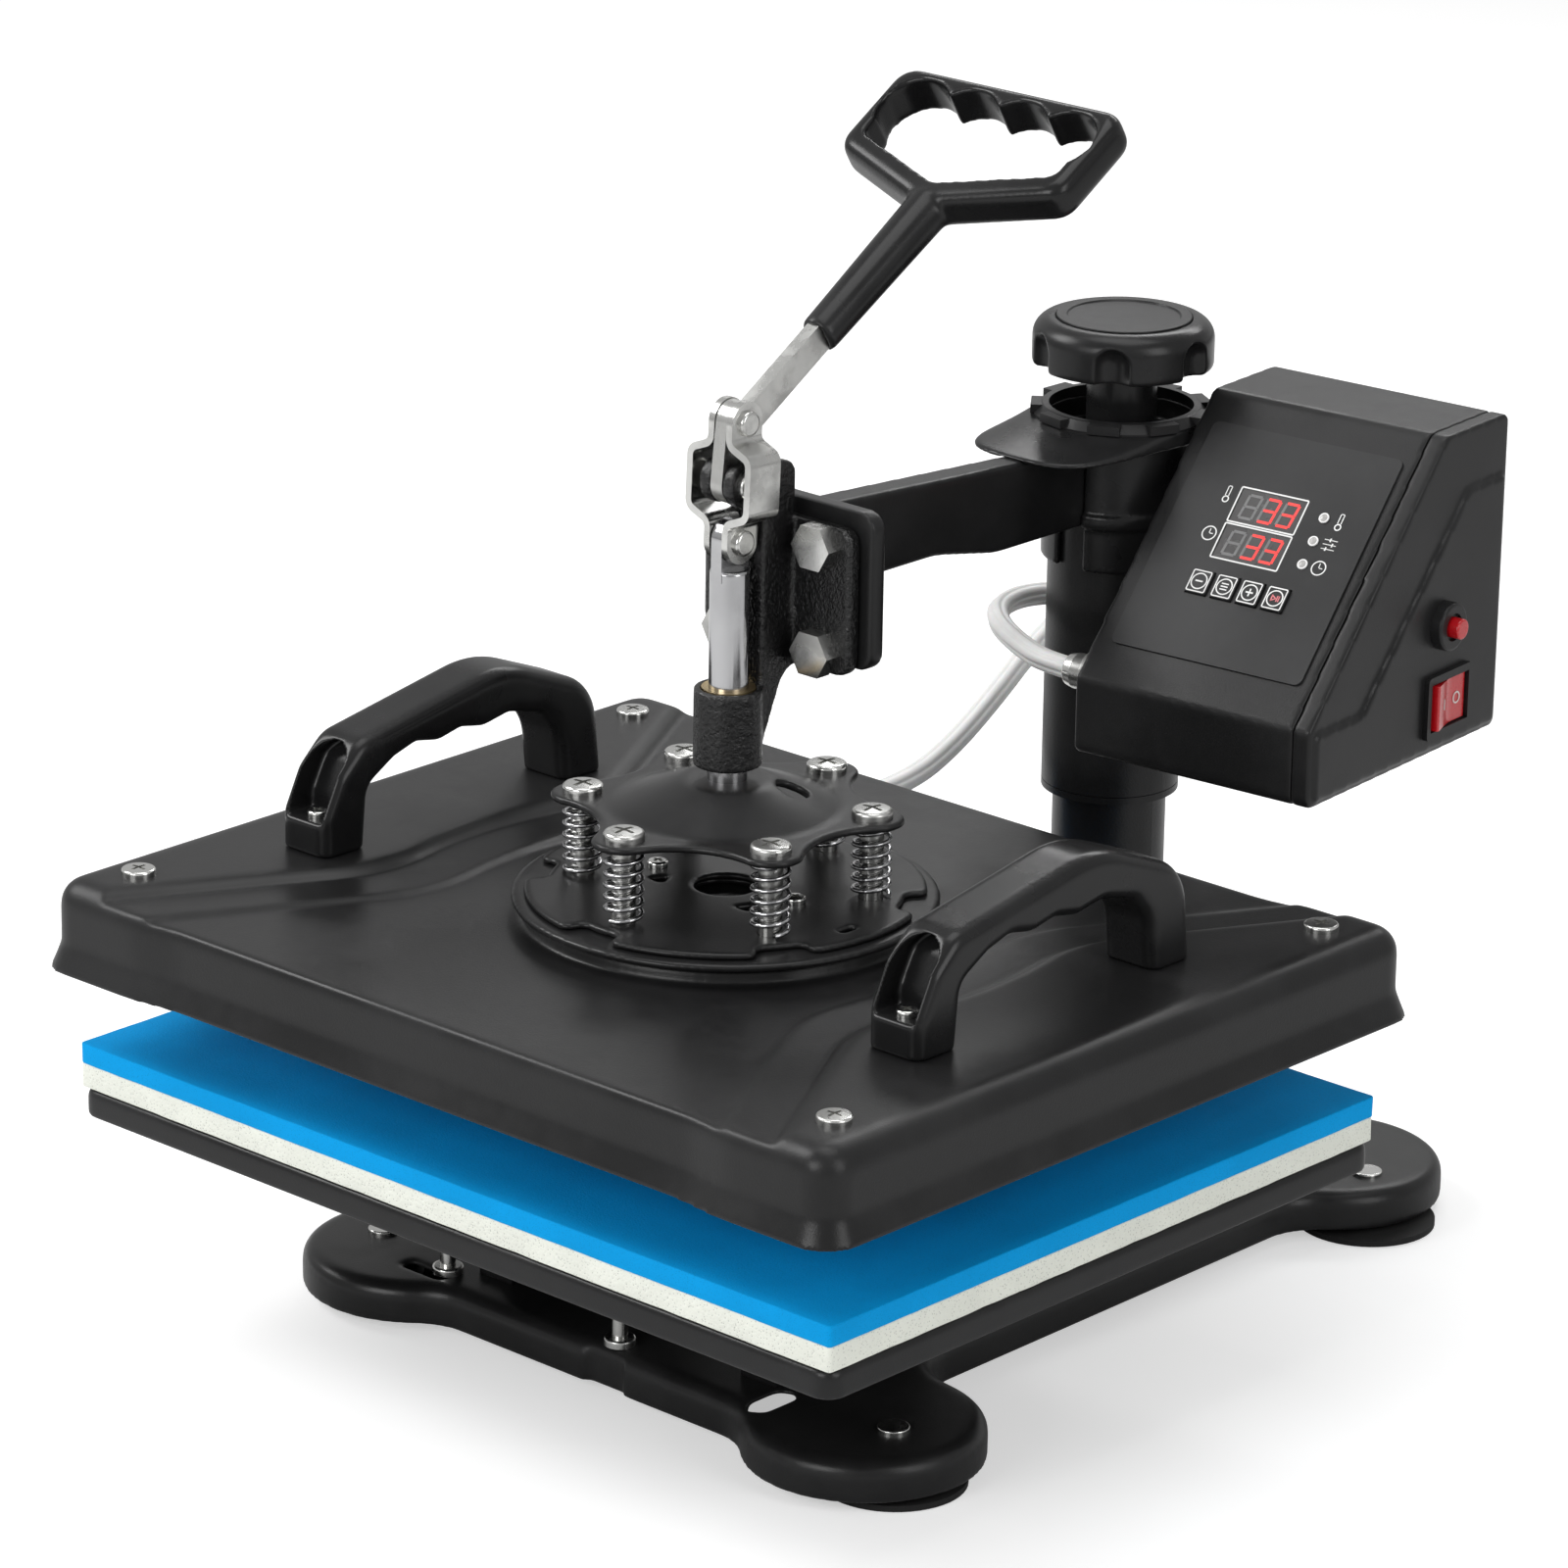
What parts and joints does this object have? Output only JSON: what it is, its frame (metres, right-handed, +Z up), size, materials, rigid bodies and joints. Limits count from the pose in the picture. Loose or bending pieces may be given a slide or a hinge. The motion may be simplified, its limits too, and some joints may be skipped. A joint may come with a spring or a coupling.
{
  "type": "swing-away combo heat press",
  "caption": "Swing-away heat press: flat heating platen on a sprung spider under a toggle lever, padded tray, post with pressure knob, tilted control box.",
  "frame": {"origin": "on the bench, at the middle of the press's footprint", "axes": "+Z up, +X to the operator's right, +Y away from the operator"},
  "size_m": [0.4, 0.478, 0.4563],
  "materials": {
    "black_paint": "satin powder coat",
    "bright_zinc": "bright zinc plate",
    "steel_tube": "polished chrome plate",
    "bearing_brass": "machined bearing bronze",
    "black_plastic": "moulded matt black",
    "spider_paint": "satin black",
    "foot_rubber": "soft black rubber",
    "blue_silicone": "smooth blue silicone sheet",
    "white_foam": "closed-cell silicone foam, off white",
    "plate_aluminium": "cast and coated",
    "wool": "ceramic fibre blanket",
    "panel_film": "printed film",
    "board_green": "circuit board",
    "display_glass": "dark display window",
    "lamp_red": "clear red lens",
    "key_grey": "soft key top",
    "switch_red": "glossy red",
    "cable_white": "white silicone sheath"
  },
  "bodies": {
    "base": {"base_frame": "black_paint", "rubber_feet": "foot_rubber", "base_fasteners": "bright_zinc", "post_flange": "black_paint", "post_tube": "steel_tube", "post_nut": "bearing_brass", "tray_support": "black_paint", "guide_pins": "bright_zinc", "tray": "black_paint", "foam_pad": "white_foam", "silicone_pad": "blue_silicone"},
    "lift_carriage": {"thrust_bush": "bearing_brass"},
    "pressure_knob": {"knob": "black_plastic", "knob_cap": "black_plastic", "lead_screw": "steel_tube"},
    "swing_arm": {"sleeve": "black_paint", "hood": "black_paint", "lock_ring": "black_plastic", "arm": "black_paint", "bracket": "black_paint", "flange_bolts": "bright_zinc", "pivot_pin": "bright_zinc", "plunger_bush": "bearing_brass", "main_shell": "black_paint", "side_panel": "black_paint", "back_panel": "black_paint", "panel_overlay": "panel_film", "control_board": "board_green", "displays": "display_glass", "led_lamps": "lamp_red", "mains_inlet": "black_plastic", "rocker_frame": "black_plastic", "breaker_nut": "steel_tube", "cable_connector": "steel_tube", "heater_cable": "cable_white"},
    "press_lever": {"lever_bar": "steel_tube", "lever_handle": "black_plastic"},
    "toggle_links": {"links": "steel_tube", "link_rivets": "bright_zinc"},
    "plunger": {"plunger_rod": "steel_tube", "spider": "spider_paint", "plunger_nut": "bright_zinc", "pressure_springs": "steel_tube"},
    "platen": {"cover": "black_paint", "heating_plate": "plate_aluminium", "insulation": "wool", "ring_plate": "black_paint", "notched_disc": "spider_paint", "spring_bolts": "bright_zinc", "handle_left": "black_plastic", "handle_right": "black_plastic", "platen_screws": "bright_zinc", "cable_grommet": "foot_rubber"},
    "power_rocker": {"rocker_switch": "switch_red"},
    "breaker_button": {"reset_button": "switch_red"},
    "minus_key": {"key_minus": "key_grey"},
    "mode_key": {"key_mode": "key_grey"},
    "plus_key": {"key_plus": "key_grey"},
    "start_key": {"key_start": "key_grey"}
  },
  "joints": [
    {"name": "pressure_lift", "type": "slide", "parent": "base", "child": "lift_carriage", "axis": [0, 0, 1], "range_m": [-0.006, 0.014]},
    {"name": "knob_turn", "type": "hinge", "parent": "lift_carriage", "child": "pressure_knob", "pos_m": [0, 0.144, 0.345], "axis": [0, 0, 1], "range_deg": [-542, 1262]},
    {"name": "arm_swing", "type": "hinge", "parent": "lift_carriage", "child": "swing_arm", "pos_m": [0, 0.144, 0.24], "axis": [0, 0, 1], "continuous": true},
    {"name": "lever_turn", "type": "hinge", "parent": "swing_arm", "child": "press_lever", "pos_m": [0, -0.076, 0.337], "axis": [1, 0, 0], "range_deg": [0, 127]},
    {"name": "link_turn", "type": "hinge", "parent": "press_lever", "child": "toggle_links", "pos_m": [0, -0.07404, 0.35941], "axis": [1, 0, 0], "range_deg": [-99.3, 0.1]},
    {"name": "plunger_slide", "type": "slide", "parent": "swing_arm", "child": "plunger", "axis": [0, 0, 1], "range_m": [-0.03015, 0.00003]},
    {"name": "platen_float", "type": "slide", "parent": "plunger", "child": "platen", "axis": [0, 0, 1], "range_m": [0, 0.006], "stiffness_N_per_m": 20000, "springref_m": -0.003, "deforming": ["pressure_springs"]},
    {"name": "rocker_tilt", "type": "hinge", "parent": "swing_arm", "child": "power_rocker", "pos_m": [0.13721, 0.1701, 0.229], "axis": [0, 0, 1], "range_deg": [-16, 0]},
    {"name": "breaker_press", "type": "slide", "parent": "swing_arm", "child": "breaker_button", "axis": [0.9954, 0.0958, 0], "range_m": [-0.003, 0], "stiffness_N_per_m": 800, "springref_m": 0.001},
    {"name": "minus_press", "type": "slide", "parent": "swing_arm", "child": "minus_key", "axis": [0.0702, -0.7286, 0.6813], "range_m": [-0.0004, 0], "stiffness_N_per_m": 1500, "springref_m": 0.0002},
    {"name": "mode_press", "type": "slide", "parent": "swing_arm", "child": "mode_key", "axis": [0.0702, -0.7286, 0.6813], "range_m": [-0.0004, 0], "stiffness_N_per_m": 1500, "springref_m": 0.0002},
    {"name": "plus_press", "type": "slide", "parent": "swing_arm", "child": "plus_key", "axis": [0.0702, -0.7286, 0.6813], "range_m": [-0.0004, 0], "stiffness_N_per_m": 1500, "springref_m": 0.0002},
    {"name": "start_press", "type": "slide", "parent": "swing_arm", "child": "start_key", "axis": [0.0702, -0.7286, 0.6813], "range_m": [-0.0004, 0], "stiffness_N_per_m": 1500, "springref_m": 0.0002}
  ],
  "couplings": [
    {"joint": "knob_turn", "follows": "pressure_lift", "rad_per_m": 1570.8},
    {"joint": "link_turn", "follows": "lever_turn", "ratio": -0.78071},
    {"joint": "plunger_slide", "follows": "lever_turn", "m_per_rad": -0.013576}
  ]
}
